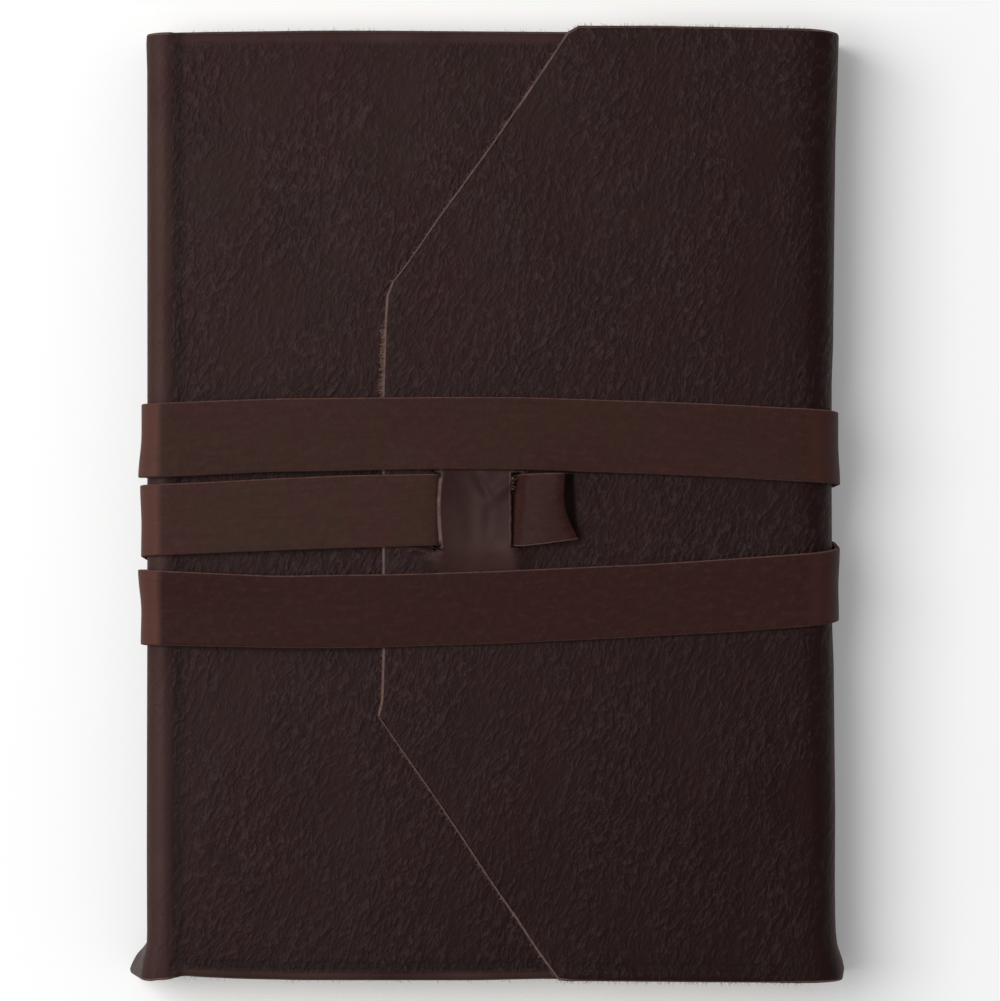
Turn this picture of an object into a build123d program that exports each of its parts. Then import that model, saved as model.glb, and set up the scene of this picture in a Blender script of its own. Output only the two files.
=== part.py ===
from build123d import *
from math import atan2, degrees, tan
import os

# A leather wrap journal, closed and lying on its back. Millimetres, +Z up, +X towards the fore
# edge, +Y towards the head. The origin is on the table, under the middle of the whole journal.

# Page block: folded signatures sewn together, each with a round back
page_width = 148.0
page_height = 210.0
signature_count = 8
signature_thickness = 2.25
signature_back_depth = 0.7
kerf_width = 1.0
kerf_depth = 1.0
thread_clearance = 0.05
sewing_stations = 5
kerf_pitch = 42.0
lining_thickness = 0.4
lining_end_setback = 0.2
lining_head_setback = 6.0
endpaper_thickness = 0.2
endpaper_margin = 3.0

# Leather cover: one hide panel folded round the pages, with its flap back over the front
leather = 1.6
square = 2.5
page_clearance = 0.5
layer_gap = 0.1
joint_ridge = 0.8
crest_flat = 1.2
joint_slope_run = 2.4
joint_inner_radius = 1.0
fore_low_fold_radius = 5.0
fore_top_fold_radius = 7.0
fold_flat = 1.0
free_edge_clearance = 0.3

# Ears that the folds throw out at the cut ends of the hide, as (share of length, share of reach)
tail_ear_length = 8.5
tail_ear_spine = 3.8
tail_ear_fore = 2.9
head_ear_length = 20.0
head_ear_spine = 0.9
head_ear_fore = 1.5
back_droop = 1.0
ear_shape = ((0.33, 0.55), (0.67, 0.88), (1.0, 1.0))

# Closing flap, with distances along X measured from the outside of the spine
flap_tip_head = 54.6
flap_tip_tail = 52.9
flap_shoulder_head = 96.1
flap_shoulder_tail = 93.5
flap_corner_head = 49.2
flap_corner_tail = -47.4
flap_head_rise = 1.1
flap_tail_drop = 0.3
flap_corner_radius = 1.6

# Two slits in the flap, and the bridge of leather between them that holds the strap down
bridge_setback = 12.85
bridge_width = 16.0
bridge_leather = 1.3
bridge_puff = 0.3
bridge_lip_lift = 0.9
bridge_head_run = 0.6
bridge_tail_run = 3.0
bridge_shoulder_radius = 1.2
bridge_foot_radius = 0.5
slit_mouth = 1.6
slit_side_room = 0.15
slit_edge_room = 0.5

# Wrap strap: one thong, laced under the bridge and wound round the journal
strap_width = 16.3
strap_leather = 1.2
strap_seat = 0.1
lace_run = 3.0
lace_bend_radius = 2.0
bow_radius = 70.0
bow_setback = 2.5
tail_length = 13.2
tail_end_slant = 2.9
tail_lift = 1.3
tail_lift_run = 9.0
tail_lift_radius = 12.0
tuck_share = 0.8

# The strap's middle line along Y where it turns, its drift down each side, and the gaps beside it
tail_end_y = -1.4
bridge_y = -1.6
middle_spine_y = -3.2
middle_spine_drift = -1.3
upper_fore_y = 13.2
upper_fore_drift = -1.4
upper_tip_drop = 0.2
upper_spine_gap = 1.7
upper_spine_drift = -0.2
lower_fore_y = -18.2
lower_fore_drift = 1.9
lower_tip_drop = 0.9
lower_spine_gap = 4.2
lower_spine_drift = 0.6
tuck_gap = 1.7

# Sizes and places that follow from the ones above
half_strap = strap_leather / 2
half_width = strap_width / 2
block_thickness = signature_count * signature_thickness
cover_height = page_height + 2 * square
cover_width = leather + lining_thickness + page_width + page_clearance + fore_low_fold_radius

back_z = 2 * (strap_leather + strap_seat)
block_z = back_z + leather + endpaper_thickness
front_z = block_z + block_thickness + endpaper_thickness
front_top_z = front_z + leather
crest_z = front_top_z + joint_ridge
flap_z = front_top_z + layer_gap
flap_top_z = flap_z + leather

spine_x = -(cover_width + tail_ear_spine + tail_ear_fore) / 2 + tail_ear_spine
fore_x = spine_x + cover_width
head_y = (cover_height + flap_tail_drop - flap_head_rise) / 2
tail_y = head_y - cover_height

spine_low_fold_radius = leather + lining_thickness + signature_thickness / 2
spine_top_fold_radius = spine_low_fold_radius + joint_ridge
crest_x = spine_x + spine_top_fold_radius + crest_flat
joint_x = crest_x + joint_slope_run
joint_angle = atan2(joint_ridge, joint_slope_run)
flap_bend_x = fore_x - fore_top_fold_radius - fold_flat
free_edge_x = fore_x - fore_top_fold_radius - free_edge_clearance
block_x = spine_x + leather + lining_thickness
page_fore_x = block_x + page_width

page_mid_y = (head_y + tail_y) / 2

tip_x = spine_x + (flap_tip_head + flap_tip_tail) / 2
bridge_low_x = tip_x + bridge_setback
bridge_high_x = bridge_low_x + bridge_width
slit_low_x = bridge_low_x - slit_mouth
slit_high_x = bridge_high_x + slit_mouth
lace_dip = leather
bridge_rise = bridge_leather + strap_leather - lace_dip + 2 * strap_seat + bridge_puff
slot_length = strap_width + 2 * slit_side_room
head_shoulder_y = bridge_y + slot_length / 2 + bridge_leather
tail_shoulder_y = bridge_y - slot_length / 2 - bridge_leather
head_foot_y = head_shoulder_y + bridge_head_run
tail_foot_y = tail_shoulder_y - bridge_tail_run
hump_head_y = head_foot_y + bridge_foot_radius
hump_tail_y = tail_foot_y - bridge_foot_radius

# Where the strap's middle surface runs: over the flap, over the spine, and at two depths behind
over_z = flap_top_z + strap_seat + half_strap
over_spine_z = crest_z + strap_seat + half_strap
inner_z = back_z - strap_seat - half_strap
outer_z = inner_z - strap_leather - strap_seat
strap_low_x = spine_x - strap_seat - half_strap
strap_high_x = fore_x + strap_seat + half_strap
wrap_gap = strap_seat + half_strap
tail_end_x = slit_high_x + tail_length
bow_x = bridge_high_x + bow_setback
tuck_x = strap_low_x + tuck_share * (strap_high_x - strap_low_x)
upper_bow_y = hump_head_y + half_width
lower_bow_y = hump_tail_y - half_width
upper_spine_y = middle_spine_y + strap_width + upper_spine_gap
lower_spine_y = middle_spine_y - strap_width - lower_spine_gap
first_back_y = middle_spine_y + middle_spine_drift
first_back_climb = upper_fore_y + upper_fore_drift - first_back_y
tuck_y = first_back_y + tuck_share * first_back_climb - strap_width - tuck_gap

# The strap's route, a point at every bend, and the radius of each bend between its two ends
spine_top_bend = spine_top_fold_radius + wrap_gap
spine_inner_bend = spine_low_fold_radius + wrap_gap
spine_outer_bend = spine_inner_bend + strap_leather + strap_seat
fore_top_bend = fore_top_fold_radius + wrap_gap
fore_inner_bend = fore_low_fold_radius + wrap_gap
fore_outer_bend = fore_inner_bend + strap_leather + strap_seat
strap_points = (
    (tail_end_x, tail_end_y, over_z + tail_lift),
    (tail_end_x - tail_lift_run, tail_end_y, over_z),
    (slit_high_x - slit_edge_room, bridge_y, over_z),
    (slit_high_x - slit_edge_room - lace_run, bridge_y, over_z - lace_dip),
    (slit_low_x + slit_edge_room + lace_run, bridge_y, over_z - lace_dip),
    (slit_low_x + slit_edge_room, bridge_y, over_z),
    (tip_x, bridge_y, over_z),
    (strap_low_x, middle_spine_y, over_spine_z),
    (strap_low_x, first_back_y, inner_z),
    (strap_high_x, upper_fore_y + upper_fore_drift, inner_z),
    (strap_high_x, upper_fore_y, over_z),
    (bow_x, upper_bow_y, over_z),
    (tip_x, upper_bow_y - upper_tip_drop, over_z),
    (strap_low_x, upper_spine_y, over_spine_z),
    (strap_low_x, upper_spine_y + upper_spine_drift, outer_z),
    (strap_high_x, lower_fore_y + lower_fore_drift, outer_z),
    (strap_high_x, lower_fore_y, over_z),
    (bow_x, lower_bow_y, over_z),
    (tip_x, lower_bow_y - lower_tip_drop, over_z),
    (strap_low_x, lower_spine_y, over_spine_z),
    (strap_low_x, lower_spine_y + lower_spine_drift, inner_z),
    (tuck_x, tuck_y, inner_z),
)
strap_radii = (
    tail_lift_radius,
    lace_bend_radius,
    lace_bend_radius,
    lace_bend_radius,
    lace_bend_radius,
    bow_radius,
    spine_top_bend,
    spine_inner_bend,
    fore_inner_bend,
    fore_top_bend,
    bow_radius,
    bow_radius,
    spine_top_bend,
    spine_outer_bend,
    fore_outer_bend,
    fore_top_bend,
    bow_radius,
    bow_radius,
    spine_top_bend,
    spine_inner_bend,
)


def folded_line(depth, spine_out, fore_out, droop):
    """The hide's run round the pages, this deep below its outer surface."""
    joint_shift = depth * tan(joint_angle / 2)
    floor = back_z - droop + depth
    return FilletPolyline(
        (free_edge_x, front_top_z - depth),
        (joint_x - joint_shift, front_top_z - depth),
        (crest_x - joint_shift, crest_z - depth),
        (spine_x + depth, crest_z - depth),
        (spine_x + depth - spine_out, floor),
        (fore_x - depth + fore_out, floor),
        (fore_x - depth, flap_top_z - depth),
        (flap_bend_x, flap_top_z - depth),
        radius=(
            joint_inner_radius + depth,
            joint_inner_radius + leather - depth,
            spine_top_fold_radius - depth,
            spine_low_fold_radius - depth,
            fore_low_fold_radius - depth,
            fore_top_fold_radius - depth,
        ),
    )


def cover_section(y, spine_out=0.0, fore_out=0.0, droop=0.0):
    """The hide cut across at y, from the front cover's free edge round to where the flap begins."""
    with BuildSketch(Plane.XZ.offset(-y)) as section:
        with BuildLine():
            outside = folded_line(0.0, spine_out, fore_out, droop)
            inside = folded_line(leather, spine_out, fore_out, droop)
            add(outside)
            add(inside)
            Line(outside @ 0, inside @ 0)
            Line(outside @ 1, inside @ 1)
        make_face()
    return section.sketch


def ear_sections(end_y, inward, length, spine_out, fore_out):
    """Sections from the straight part of the cover out to one cut end, where the folds flare."""
    start_y = end_y + inward * length
    sections = [cover_section(start_y)]
    for run, share in ear_shape:
        y = start_y - inward * length * run
        sections.append(cover_section(y, share * spine_out, share * fore_out, share * back_droop))
    return sections


def hump_section(x, rise):
    """The raised bridge cut across at x: the flap's surface, lifted over the strap."""
    with BuildSketch(Plane.YZ.offset(x)) as section:
        with BuildLine():
            surface = FilletPolyline(
                (hump_head_y, flap_top_z),
                (head_foot_y, flap_top_z),
                (head_shoulder_y, flap_top_z + rise),
                (tail_shoulder_y, flap_top_z + rise),
                (tail_foot_y, flap_top_z),
                (hump_tail_y, flap_top_z),
                radius=(
                    bridge_foot_radius,
                    bridge_shoulder_radius,
                    bridge_shoulder_radius,
                    bridge_foot_radius,
                ),
            )
            Polyline(surface @ 1, (hump_tail_y, flap_z), (hump_head_y, flap_z), surface @ 0)
        make_face()
    return section.sketch


def tunnel_section(x, rise):
    """The space under the bridge at x, which the strap passes through."""
    ceiling = flap_top_z + rise - bridge_leather
    with BuildSketch(Plane.YZ.offset(x)) as section:
        with Locations((bridge_y, (flap_z + ceiling) / 2)):
            Rectangle(slot_length, ceiling - flap_z)
    return section.sketch


def through_bridge(section):
    """Sections at the bridge's two lips and its middle, where it sags between them."""
    middle_x = (bridge_low_x + bridge_high_x) / 2
    lip_rise = bridge_rise + bridge_lip_lift
    return [
        section(bridge_low_x, lip_rise),
        section(middle_x, bridge_rise),
        section(bridge_high_x, lip_rise),
    ]


# Leather cover
with BuildPart() as cover:
    straight_tail_y = tail_y + tail_ear_length
    straight_head_y = head_y - head_ear_length
    extrude(cover_section(straight_tail_y), amount=straight_head_y - straight_tail_y, dir=(0, 1, 0))
    loft(ear_sections(tail_y, 1, tail_ear_length, tail_ear_spine, tail_ear_fore))
    loft(ear_sections(head_y, -1, head_ear_length, head_ear_spine, head_ear_fore))
    with BuildSketch(Plane.XY.offset(flap_z)) as flap_outline:
        with BuildLine():
            Polyline(
                (flap_bend_x, head_y),
                (spine_x + flap_shoulder_head, head_y + flap_head_rise),
                (spine_x + flap_tip_head, flap_corner_head),
                (spine_x + flap_tip_tail, flap_corner_tail),
                (spine_x + flap_shoulder_tail, tail_y - flap_tail_drop),
                (flap_bend_x, tail_y),
                close=True,
            )
        make_face()
        fillet(flap_outline.vertices().sort_by(Axis.X)[:2], flap_corner_radius)
    extrude(amount=leather)
    loft(through_bridge(hump_section))
    loft(through_bridge(tunnel_section), mode=Mode.SUBTRACT)
    with BuildSketch(Plane.XY.offset(flap_z)) as mouths:
        with Locations(((bridge_low_x + bridge_high_x) / 2, bridge_y)):
            Rectangle(slit_high_x - slit_low_x, slot_length)
            Rectangle(bridge_width, slot_length, mode=Mode.SUBTRACT)
    extrude(amount=leather, mode=Mode.SUBTRACT)
cover.part.label = "leather_cover"

# Page block, cut from the profile of its sewn signatures
with BuildPart() as pages:
    with BuildSketch(Plane.XZ.offset(-page_height / 2 - page_mid_y)) as profile:
        with BuildLine():
            for index in range(signature_count):
                low = block_z + index * signature_thickness
                high = low + signature_thickness
                ThreePointArc(
                    (block_x + signature_back_depth, low),
                    (block_x, (low + high) / 2),
                    (block_x + signature_back_depth, high),
                )
            Polyline(
                (block_x + signature_back_depth, block_z),
                (page_fore_x, block_z),
                (page_fore_x, block_z + block_thickness),
                (block_x + signature_back_depth, block_z + block_thickness),
            )
        make_face()
    extrude(amount=page_height)
    with BuildSketch(Plane.XY.offset(block_z)) as kerfs:
        with Locations((block_x, page_mid_y)):
            with GridLocations(0, kerf_pitch, 1, sewing_stations):
                Rectangle(2 * kerf_depth, kerf_width)
    extrude(amount=block_thickness, mode=Mode.SUBTRACT)
pages.part.label = "page_block"

# Sewing thread, one stitched line in each kerf across the backs of the signatures
thread_radius = kerf_width / 2 - thread_clearance
with BuildPart() as thread:
    with BuildSketch(Plane.XY.offset(block_z + signature_thickness / 2)) as stations:
        with Locations((block_x + kerf_depth - kerf_width / 2, page_mid_y)):
            with GridLocations(0, kerf_pitch, 1, sewing_stations):
                Circle(thread_radius)
    extrude(amount=block_thickness - signature_thickness)
thread.part.label = "sewing_thread"

# Spine lining, glued over the backs of the signatures
with BuildPart() as lining:
    lining_low_z = back_z + spine_low_fold_radius + lining_end_setback
    lining_high_z = crest_z - spine_top_fold_radius - lining_end_setback
    with BuildSketch(Plane.XZ.offset(-page_height / 2 - page_mid_y + lining_head_setback)) as strip:
        with Locations((block_x - lining_thickness / 2, (lining_low_z + lining_high_z) / 2)):
            Rectangle(lining_thickness, lining_high_z - lining_low_z)
    extrude(amount=page_height - 2 * lining_head_setback)
lining.part.label = "spine_lining"

# Endpapers, glued down inside the back and front of the cover
with BuildPart() as back_endpaper:
    back_low_x = spine_x + spine_low_fold_radius
    back_high_x = fore_x - fore_low_fold_radius - page_clearance
    with BuildSketch(Plane.XY.offset(back_z + leather)) as back_sheet:
        with Locations(((back_low_x + back_high_x) / 2, page_mid_y)):
            Rectangle(back_high_x - back_low_x, page_height - 2 * endpaper_margin)
    extrude(amount=endpaper_thickness)
back_endpaper.part.label = "back_endpaper"

with BuildPart() as front_endpaper:
    front_low_x = joint_x + joint_inner_radius + leather
    front_high_x = free_edge_x - endpaper_margin
    with BuildSketch(Plane.XY.offset(front_z - endpaper_thickness)) as front_sheet:
        with Locations(((front_low_x + front_high_x) / 2, page_mid_y)):
            Rectangle(front_high_x - front_low_x, page_height - 2 * endpaper_margin)
    extrude(amount=endpaper_thickness)
front_endpaper.part.label = "front_endpaper"

# Wrap strap, from the tail end on the flap to the end tucked under the back
with BuildPart() as strap:
    with BuildLine() as route:
        FilletPolyline(*strap_points, radius=strap_radii)
    route_wire = route.wires()[0]
    beside = route_wire.moved(Location((0, strap_width, 0)))
    with BuildSketch(Plane(origin=route_wire @ 0, x_dir=(0, 1, 0), z_dir=route_wire % 0)) as band:
        Rectangle(strap_width, strap_leather)
    sweep(path=route_wire, binormal=beside)
    with BuildSketch(Plane.XY.offset(flap_top_z)) as slanted_end:
        with Locations((tail_end_x - tail_end_slant / 2, tail_end_y)):
            Rectangle(
                2 * tail_end_slant,
                strap_width + 4 * strap_seat,
                rotation=degrees(atan2(tail_end_slant, strap_width)),
                align=(Align.MIN, Align.CENTER),
            )
    extrude(amount=strap_leather + 2 * tail_lift, mode=Mode.SUBTRACT)
strap.part.label = "wrap_strap"

os.makedirs("parts", exist_ok=True)
export_step(cover.part, "parts/leather_cover.step")
export_step(pages.part, "parts/page_block.step")
export_step(thread.part, "parts/sewing_thread.step")
export_step(lining.part, "parts/spine_lining.step")
export_step(back_endpaper.part, "parts/back_endpaper.step")
export_step(front_endpaper.part, "parts/front_endpaper.step")
export_step(strap.part, "parts/wrap_strap.step")
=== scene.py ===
import math
import random

import bmesh
import bpy
from mathutils import Matrix, Vector, noise


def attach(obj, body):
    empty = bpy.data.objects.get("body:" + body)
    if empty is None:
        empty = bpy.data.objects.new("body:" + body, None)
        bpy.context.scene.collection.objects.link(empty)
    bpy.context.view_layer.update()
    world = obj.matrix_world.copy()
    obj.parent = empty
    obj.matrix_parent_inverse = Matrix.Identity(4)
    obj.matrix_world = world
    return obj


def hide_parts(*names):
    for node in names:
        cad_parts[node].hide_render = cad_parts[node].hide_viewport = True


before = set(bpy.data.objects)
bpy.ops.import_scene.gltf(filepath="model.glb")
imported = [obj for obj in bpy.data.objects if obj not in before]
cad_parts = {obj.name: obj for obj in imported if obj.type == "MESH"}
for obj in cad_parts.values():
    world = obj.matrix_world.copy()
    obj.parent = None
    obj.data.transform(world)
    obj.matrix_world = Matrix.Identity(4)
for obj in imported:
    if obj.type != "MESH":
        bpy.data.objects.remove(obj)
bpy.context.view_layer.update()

bl_info = {
    "name": "Leather wrap journal",
    "version": (1, 0, 0),
    "blender": (4, 5, 0),
    "location": "3D View > Sidebar > Journal",
    "description": "Dresses a leather wrap journal over its fixed frame",
    "category": "Add Mesh",
}

# Lengths below are in millimetres in the journal's own frame, and MM turns them into metres.
MM = 0.001

# The hide's outer line round the pages, from the front cover's free edge to the flap's tip, the
# radii of its six bends, and how far the back sinks at its head and tail
FREE_EDGE_X = 70.9
JOINT_X = -71.2
CREST_X = -72.8
SPINE_X = -77.3
FORE_X = 78.2
FRONT_TOP_Z = 24.2
CREST_Z = 25.0
BACK_Z = 2.6
FLAP_TOP_Z = 25.9
TIP_X = -24.46
HIDE_RADII = (1.0, 2.6, 3.925, 3.125, 5.0, 7.0)
HEAD_Y = 107.1
TAIL_Y = -107.9
BACK_DROOP = 1.0

# How far the low folds stand out past the straight sides, as (Y, reach)
SPINE_OUT = (
    (-107.9, 5.5), (-107.2, 5.9), (-106.4, 5.7), (-105.3, 5.2), (-104.1, 4.5), (-103.0, 3.7),
    (-101.9, 2.5), (-100.7, 1.4), (-99.6, 0.5), (-97.5, 0.2), (-79.0, 0.43), (-54.2, 0.29),
    (-33.4, 0.07), (28.1, -0.1), (73.4, 0.0), (98.2, 0.09), (100.9, 0.38), (104.3, 0.81), (106.4, 0.4),
    (107.1, 0.3),
)
FORE_OUT = (
    (-107.9, 3.5), (-106.4, 3.9), (-104.1, 3.3), (-101.9, 2.4), (-99.6, 1.6), (-96.2, 1.0),
    (-84.9, 0.8), (-69.6, 0.95), (-36.0, 0.4), (-27.9, -0.1), (3.0, -0.3), (28.1, -0.3), (36.0, 0.2),
    (55.0, 0.5), (82.4, 1.0), (91.5, 1.5), (102.0, 2.0), (106.0, 2.2), (107.1, 2.0),
)

# Head and tail ends of the front cover and of the flap, as (X, Y), and the flap's tip, as (Y, X)
FRONT_HEAD = (
    (-77.1, 106.6), (-69.7, 106.9), (-38.0, 107.3), (-24.5, 107.3), (16.0, 107.0), (70.9, 107.1),
)
FRONT_TAIL = (
    (-78.0, -107.8), (-75.8, -107.8), (-70.4, -107.2), (-69.0, -106.8), (-65.0, -107.1),
    (-56.1, -107.5), (-42.6, -107.8), (-1.9, -107.8), (11.7, -107.5), (70.9, -107.9),
)
FLAP_HEAD = (
    (-24.46, 49.85), (-15.35, 61.1), (-6.5, 71.6), (1.3, 82.5), (9.25, 94.5), (17.7, 107.4),
    (19.5, 108.2), (36.6, 108.2), (59.2, 107.8), (71.2, 107.5),
)
FLAP_TAIL = (
    (-24.46, -47.7), (-11.2, -67.6), (-0.35, -84.3), (6.75, -94.8), (14.45, -107.4), (15.9, -107.8),
    (25.3, -107.9), (61.5, -108.2), (71.2, -108.1),
)
FLAP_TIP = (
    (-47.7, -25.0), (-46.6, -24.8), (-44.0, -24.2), (-33.8, -23.9), (24.3, -24.0), (40.0, -23.5),
    (46.7, -23.1), (49.85, -21.97),
)

# Bridge between the two slits in the flap, which the strap lifts. Its feet are where it lies flat again.
BRIDGE_LOW_X = -10.7
BRIDGE_HIGH_X = 5.3
BRIDGE_Y = -1.25
SLIT_MOUTH = 1.6
RIGHT_MOUTH = 2.3
SLIT_HALF = 8.3
BRIDGE_RISE = 1.6
LIP_RISE = 2.5
RIGHT_LIP_RISE = 1.95
LIP_BOW = 0.6
HEAD_FOOT = 11.0
TAIL_FOOT = 14.6

# Creases and swellings in the flap, as (X, Y) of both ends, half width and height
CREASES = (
    (6.0, 6.0, 0.4, 1.0, 1.2, 1.1),
    (-2.6, 6.8, 0.3, 1.4, 0.9, -0.9),
    (0.4, 1.0, -0.3, -6.5, 0.9, -0.4),
    (-4.2, 5.0, -3.6, -7.5, 2.2, -0.45),
    (-17.5, -9.9, -9.8, -11.4, 0.8, 0.9),
    (-15.2, -12.3, -9.4, -13.2, 0.8, 0.5),
    (9.5, -10.2, 5.0, -11.6, 0.7, 0.4),
    (21.0, 7.6, 21.6, -4.0, 1.2, 0.7),
)

# How dark the strap is made, by distance from its tail end
STRAP_DARKNESS = (
    (0.0, 1.0), (14.0, 0.8), (40.0, 0.35), (110.0, 0.25), (270.0, 0.75), (440.0, 0.5), (600.0, 0.9),
    (760.0, 1.0),
)

# The strap's middle line from its tail end to the tucked end, as (X, Y, Z, bend radius, width,
# lift of its head edge, lift of its tail edge)
STRAP_STOPS = (
    (19.8, -0.4, 29.3, 0.0, 15.1, 1.3, 0.0),
    (13.0, -0.9, 28.8, 8.0, 16.0, 0.0, 0.0),
    (8.3, -1.3, 27.8, 2.5, 16.4, 0.0, 0.0),
    (5.7, -1.4, 25.0, 1.8, 16.2, 0.0, 0.0),
    (-8.8, -1.25, 25.0, 2.0, 16.1, 0.0, 0.0),
    (-11.8, -1.2, 26.6, 2.0, 16.1, 0.0, 0.0),
    (-31.2, -1.55, 26.5, 70.0, 16.5, 0.0, 0.0),
    (-53.2, -2.55, 26.12, 70.0, 16.3, 0.1, 0.0),
    (-78.0, -3.6, 25.7, 4.625, 16.2, 0.35, 0.1),
    (-78.0, -4.9, 1.9, 3.825, 16.3, 0.1, 0.1),
    (78.9, 11.8, 1.9, 5.7, 16.3, 0.0, 0.0),
    (78.9, 13.0, 26.6, 7.7, 16.7, 0.0, 0.55),
    (55.96, 14.25, 26.6, 70.0, 16.5, 0.0, 0.25),
    (34.3, 15.15, 26.6, 90.0, 16.4, 0.0, 0.1),
    (6.0, 16.1, 26.65, 90.0, 16.4, 0.0, 0.85),
    (-12.0, 16.15, 26.65, 90.0, 16.4, 0.0, 0.85),
    (-23.5, 16.0, 26.6, 70.0, 16.4, 0.0, 0.15),
    (-47.4, 15.65, 26.22, 70.0, 16.6, 0.0, 0.2),
    (-78.0, 14.4, 25.7, 4.625, 16.8, 0.0, 0.85),
    (-78.0, 14.2, 0.6, 5.125, 16.3, 0.0, 0.1),
    (78.9, -16.3, 0.6, 7.0, 16.3, 0.0, 0.0),
    (78.9, -18.7, 26.6, 7.7, 16.6, 0.45, 0.15),
    (55.96, -20.5, 26.6, 70.0, 16.6, 0.2, 0.0),
    (34.3, -21.75, 26.6, 90.0, 16.5, 0.1, 0.0),
    (2.7, -23.25, 26.65, 90.0, 16.5, 0.15, 0.0),
    (-24.3, -24.05, 26.6, 70.0, 16.6, 0.05, 0.0),
    (-47.4, -24.3, 26.22, 70.0, 16.5, 0.1, 0.0),
    (-78.0, -23.2, 25.7, 4.625, 17.0, 0.9, 0.2),
    (-78.0, -23.1, 1.9, 3.825, 16.3, 0.1, 0.0),
    (47.5, -9.5, 1.9, 0.0, 16.3, 0.0, 0.0),
)

# How low the rolled tail end of the strap may reach, and how steeply it rolls
ROLL_FLOOR_Z = 26.8
ROLL_SLOPE = 2.2

# Page block
BLOCK_X = -75.3
PAGE_FORE_X = 72.7
BLOCK_Z = 4.4
PAGE_MID_Y = -0.4

# How many loose fibres stand at each of the flap's ends, at its tip, on the rough stretch of the
# tip, in the right slit, and at both ends of the front cover together
END_FIBRES = 330
TIP_FIBRES = 60
ROUGH_TUFTS = 150
SLIT_TUFTS = 14
COVER_FIBRES = 100

# Painted highlight on the crests of the wrinkles: how much lighter they are painted, as a linear colour
CREST_PAINTED_HIGHLIGHT = (0.021, 0.016, 0.0165)

# Floor, soft light and camera, in metres, apart from the sensor's width in millimetres
FLOOR_HALF = 3.0
KEY_SIZE = (0.95, 1.2)
KEY_AIM = (-0.5, 0.14, 0.85)
KEY_DISTANCE = 1.5
CAMERA_OVER = (0.00267, 0.0009)
SENSOR = 36.0


def tone(red, green, blue):
    """A screen colour of 0 to 255 as the linear colour that a material takes."""
    out = []
    for part in (red, green, blue):
        part = part / 255.0
        out.append(part / 12.92 if part <= 0.04045 else ((part + 0.055) / 1.055) ** 2.4)
    return tuple(out)


def ease(low, high, value):
    """A smooth step from 0 at low to 1 at high."""
    share = min(max((value - low) / (high - low), 0.0), 1.0)
    return share * share * (3.0 - 2.0 * share)


def lerp(first, last, share):
    return first + (last - first) * share


def look_up(table, place):
    """The value at a place in a table of (place, value) rows."""
    if place <= table[0][0]:
        return table[0][1]
    for (low, at_low), (high, at_high) in zip(table, table[1:]):
        if place <= high:
            return lerp(at_low, at_high, (place - low) / (high - low))
    return table[-1][1]


def spread(stops):
    """Places from stop to stop, each stretch with its own spacing, from (place, spacing) rows."""
    places = [stops[0][0]]
    for (low, step), (high, _) in zip(stops, stops[1:]):
        count = max(1, round(abs(high - low) / step))
        places += [lerp(low, high, (n + 1) / count) for n in range(count)]
    return places


class Run:
    """A straight or evenly bent stretch of a folded line."""

    def __init__(self, start, along, length, radius=0.0, inward=None):
        self.start, self.along, self.length = start, along, length
        self.radius, self.inward = radius, inward

    def at(self, share):
        """The point and the direction at this share of the stretch."""
        if self.radius == 0.0:
            return self.start + self.along * (self.length * share), self.along
        turn = self.length * share / self.radius
        centre = self.start + self.inward * self.radius
        point = centre - self.inward * (self.radius * math.cos(turn))
        point += self.along * (self.radius * math.sin(turn))
        return point, self.along * math.cos(turn) + self.inward * math.sin(turn)


def fold_line(corners, radii):
    """The stretches of a line through these corners, with each inner corner bent to its radius."""
    runs = []
    start = corners[0]
    for before, corner, after, radius in zip(corners, corners[1:], corners[2:], radii):
        arrive = (corner - before).normalized()
        leave = (after - corner).normalized()
        turn = arrive.angle(leave)
        if turn < 1e-4:
            continue
        back = radius * math.tan(turn / 2.0)
        bend_start = corner - arrive * back
        runs.append(Run(start, arrive, (bend_start - start).length))
        inward = (leave - arrive * arrive.dot(leave)).normalized()
        runs.append(Run(bend_start, arrive, radius * turn, radius, inward))
        start = corner + leave * back
    runs.append(Run(start, (corners[-1] - start).normalized(), (corners[-1] - start).length))
    return runs


def starts_of(runs):
    """Where each stretch of a line starts on the flat piece, and where the last one ends."""
    return [sum(run.length for run in runs[:n]) for n in range(len(runs) + 1)]


def stretch_at(starts, place):
    """Which stretch of a line a place on the flat piece lies on."""
    index = 0
    while index < len(starts) - 2 and place > starts[index + 1]:
        index += 1
    return index


def hide_runs(y):
    """The hide's outer line at this place along the journal, in its (X, 0, Z) plane."""
    spine_out = look_up(SPINE_OUT, y)
    fore_out = look_up(FORE_OUT, y)
    end = max(ease(TAIL_Y + 8.5, TAIL_Y, y), ease(HEAD_Y - 20.0, HEAD_Y, y))
    floor = BACK_Z - BACK_DROOP * end
    corners = (
        (FREE_EDGE_X, FRONT_TOP_Z),
        (JOINT_X, FRONT_TOP_Z),
        (CREST_X, CREST_Z),
        (SPINE_X - max(0.0, spine_out) * 0.12, CREST_Z),
        (SPINE_X - spine_out, floor),
        (FORE_X + fore_out, floor),
        (FORE_X + max(-0.3, fore_out) * 0.5, FLAP_TOP_Z),
        (TIP_X, FLAP_TOP_Z),
    )
    return fold_line([Vector((x, 0.0, z)) for x, z in corners], HIDE_RADII)


STRAIGHT_HIDE = hide_runs(0.0)
FLAP_X0 = STRAIGHT_HIDE[-1].start.x

# Where the cover's bends and walls start on the flat hide
HIDE_STARTS = starts_of(STRAIGHT_HIDE)
FRONT_END = HIDE_STARTS[1]
CREST_BEND = HIDE_STARTS[3]
SPINE_BEND, SPINE_WALL, SPINE_FOOT, BACK_START, BACK_END = HIDE_STARTS[5:10]
FORE_WALL, FORE_BEND, FLAP_START, FLAP_END = HIDE_STARTS[10:]


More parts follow.
